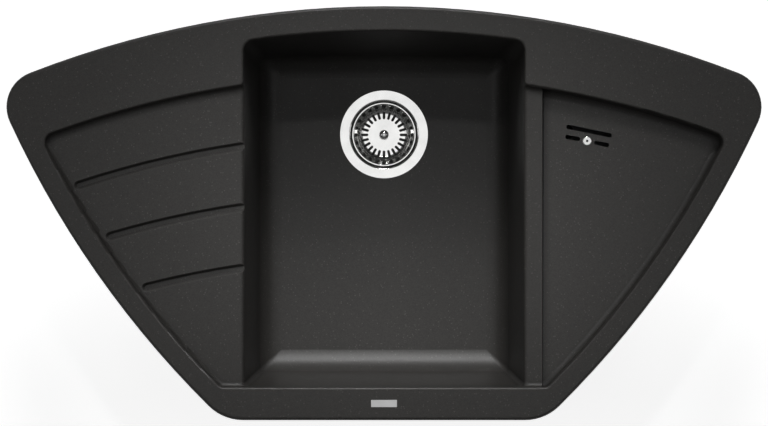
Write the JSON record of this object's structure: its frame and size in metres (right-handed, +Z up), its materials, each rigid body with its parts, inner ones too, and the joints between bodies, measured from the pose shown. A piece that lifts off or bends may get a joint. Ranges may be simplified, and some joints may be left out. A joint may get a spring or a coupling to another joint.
{
  "type": "corner kitchen sink",
  "caption": "Fan-shaped corner kitchen sink in dark stone composite: grooved drainer, deep main bowl with basket strainer, shallow side tray with overflow, fixing clamps.",
  "frame": {"origin": "on the underside of the rim, where it rests on the worktop, in the middle of the plan outline", "axes": "+Z up out of the worktop, +Y into the corner of the room, +X to the right of a person who stands at the straight front edge"},
  "size_m": [0.93, 0.51, 0.2953],
  "materials": {
    "stone_composite": "fine satin granite composite, dark anthracite",
    "pressed_stainless": "pressed and polished stainless steel",
    "polished_plate": "bright polished plate",
    "polished_knob": "polished",
    "stainless_screw": "turned stainless steel",
    "black_rubber": "matt",
    "grey_foam": "closed-cell foam strip",
    "black_plastic": "moulded, satin",
    "grey_hose": "blow-moulded, satin",
    "brass": "turned",
    "zinc_plate": "zinc-plated sheet steel",
    "zinc_screw": "zinc-plated steel",
    "claw_zinc_cast": "die-cast, tumbled"
  },
  "bodies": {
    "sink": {"sink_body": "stone_composite", "rim_seal": "grey_foam", "badge_plate": "polished_plate", "flange_seal": "black_rubber", "strainer_flange": "pressed_stainless", "waste_screw": "stainless_screw", "waste_insert": "brass", "waste_body": "black_plastic", "body_seal": "black_rubber", "overflow_screw": "stainless_screw", "overflow_seal": "black_rubber", "overflow_housing": "black_plastic", "overflow_insert": "brass", "overflow_hose": "grey_hose", "hose_nut_top": "black_plastic", "hose_nut_bottom": "black_plastic", "clamp_brackets": "zinc_plate", "bracket_screws": "zinc_screw"},
    "basket_stem": {"basket_knob": "polished_knob", "basket_seal": "black_rubber", "stem_clip": "stainless_screw"},
    "basket": {"strainer_basket": "pressed_stainless"},
    "clamp_screw_1": {"clamp_screw_1": "zinc_screw"},
    "clamp_claw_1": {"clamp_claw_1": "claw_zinc_cast"},
    "clamp_screw_2": {"clamp_screw_2": "zinc_screw"},
    "clamp_claw_2": {"clamp_claw_2": "claw_zinc_cast"},
    "clamp_screw_3": {"clamp_screw_3": "zinc_screw"},
    "clamp_claw_3": {"clamp_claw_3": "claw_zinc_cast"},
    "clamp_screw_4": {"clamp_screw_4": "zinc_screw"},
    "clamp_claw_4": {"clamp_claw_4": "claw_zinc_cast"},
    "clamp_screw_5": {"clamp_screw_5": "zinc_screw"},
    "clamp_claw_5": {"clamp_claw_5": "claw_zinc_cast"},
    "clamp_screw_6": {"clamp_screw_6": "zinc_screw"},
    "clamp_claw_6": {"clamp_claw_6": "claw_zinc_cast"},
    "clamp_screw_7": {"clamp_screw_7": "zinc_screw"},
    "clamp_claw_7": {"clamp_claw_7": "claw_zinc_cast"},
    "clamp_screw_8": {"clamp_screw_8": "zinc_screw"},
    "clamp_claw_8": {"clamp_claw_8": "claw_zinc_cast"}
  },
  "joints": [
    {"name": "basket_lift", "type": "slide", "parent": "sink", "child": "basket_stem", "axis": [0, 0, 1], "range_m": [0, 0.24]},
    {"name": "basket_turn", "type": "hinge", "parent": "basket_stem", "child": "basket", "pos_m": [0, 0.1015, -0.2], "axis": [0, 0, 1], "continuous": true},
    {"name": "clamp_screw_1_turn", "type": "hinge", "parent": "sink", "child": "clamp_screw_1", "pos_m": [-0.26167, 0.18818, -0.057], "axis": [0, 0, 1], "range_deg": [0, 6300]},
    {"name": "clamp_claw_1_climb", "type": "slide", "parent": "sink", "child": "clamp_claw_1", "axis": [0, 0, 1], "range_m": [0, 0.014]},
    {"name": "clamp_screw_2_turn", "type": "hinge", "parent": "sink", "child": "clamp_screw_2", "pos_m": [0.26167, 0.18818, -0.057], "axis": [0, 0, 1], "range_deg": [0, 6300]},
    {"name": "clamp_claw_2_climb", "type": "slide", "parent": "sink", "child": "clamp_claw_2", "axis": [0, 0, 1], "range_m": [0, 0.014]},
    {"name": "clamp_screw_3_turn", "type": "hinge", "parent": "sink", "child": "clamp_screw_3", "pos_m": [-0.37313, 0.15652, -0.057], "axis": [0, 0, 1], "range_deg": [0, 6300]},
    {"name": "clamp_claw_3_climb", "type": "slide", "parent": "sink", "child": "clamp_claw_3", "axis": [0, 0, 1], "range_m": [0, 0.014]},
    {"name": "clamp_screw_4_turn", "type": "hinge", "parent": "sink", "child": "clamp_screw_4", "pos_m": [0.37313, 0.15652, -0.057], "axis": [0, 0, 1], "range_deg": [0, 6300]},
    {"name": "clamp_claw_4_climb", "type": "slide", "parent": "sink", "child": "clamp_claw_4", "axis": [0, 0, 1], "range_m": [0, 0.014]},
    {"name": "clamp_screw_5_turn", "type": "hinge", "parent": "sink", "child": "clamp_screw_5", "pos_m": [-0.33296, -0.0392, -0.057], "axis": [0, 0, 1], "range_deg": [0, 6300]},
    {"name": "clamp_claw_5_climb", "type": "slide", "parent": "sink", "child": "clamp_claw_5", "axis": [0, 0, 1], "range_m": [0, 0.014]},
    {"name": "clamp_screw_6_turn", "type": "hinge", "parent": "sink", "child": "clamp_screw_6", "pos_m": [0.33296, -0.0392, -0.057], "axis": [0, 0, 1], "range_deg": [0, 6300]},
    {"name": "clamp_claw_6_climb", "type": "slide", "parent": "sink", "child": "clamp_claw_6", "axis": [0, 0, 1], "range_m": [0, 0.014]},
    {"name": "clamp_screw_7_turn", "type": "hinge", "parent": "sink", "child": "clamp_screw_7", "pos_m": [-0.24686, -0.15065, -0.057], "axis": [0, 0, 1], "range_deg": [0, 6300]},
    {"name": "clamp_claw_7_climb", "type": "slide", "parent": "sink", "child": "clamp_claw_7", "axis": [0, 0, 1], "range_m": [0, 0.014]},
    {"name": "clamp_screw_8_turn", "type": "hinge", "parent": "sink", "child": "clamp_screw_8", "pos_m": [0.24686, -0.15065, -0.057], "axis": [0, 0, 1], "range_deg": [0, 6300]},
    {"name": "clamp_claw_8_climb", "type": "slide", "parent": "sink", "child": "clamp_claw_8", "axis": [0, 0, 1], "range_m": [0, 0.014]}
  ],
  "couplings": [
    {"joint": "clamp_screw_1_turn", "follows": "clamp_claw_1_climb", "rad_per_m": 7854},
    {"joint": "clamp_screw_2_turn", "follows": "clamp_claw_2_climb", "rad_per_m": 7854},
    {"joint": "clamp_screw_3_turn", "follows": "clamp_claw_3_climb", "rad_per_m": 7854},
    {"joint": "clamp_screw_4_turn", "follows": "clamp_claw_4_climb", "rad_per_m": 7854},
    {"joint": "clamp_screw_5_turn", "follows": "clamp_claw_5_climb", "rad_per_m": 7854},
    {"joint": "clamp_screw_6_turn", "follows": "clamp_claw_6_climb", "rad_per_m": 7854},
    {"joint": "clamp_screw_7_turn", "follows": "clamp_claw_7_climb", "rad_per_m": 7854},
    {"joint": "clamp_screw_8_turn", "follows": "clamp_claw_8_climb", "rad_per_m": 7854}
  ]
}
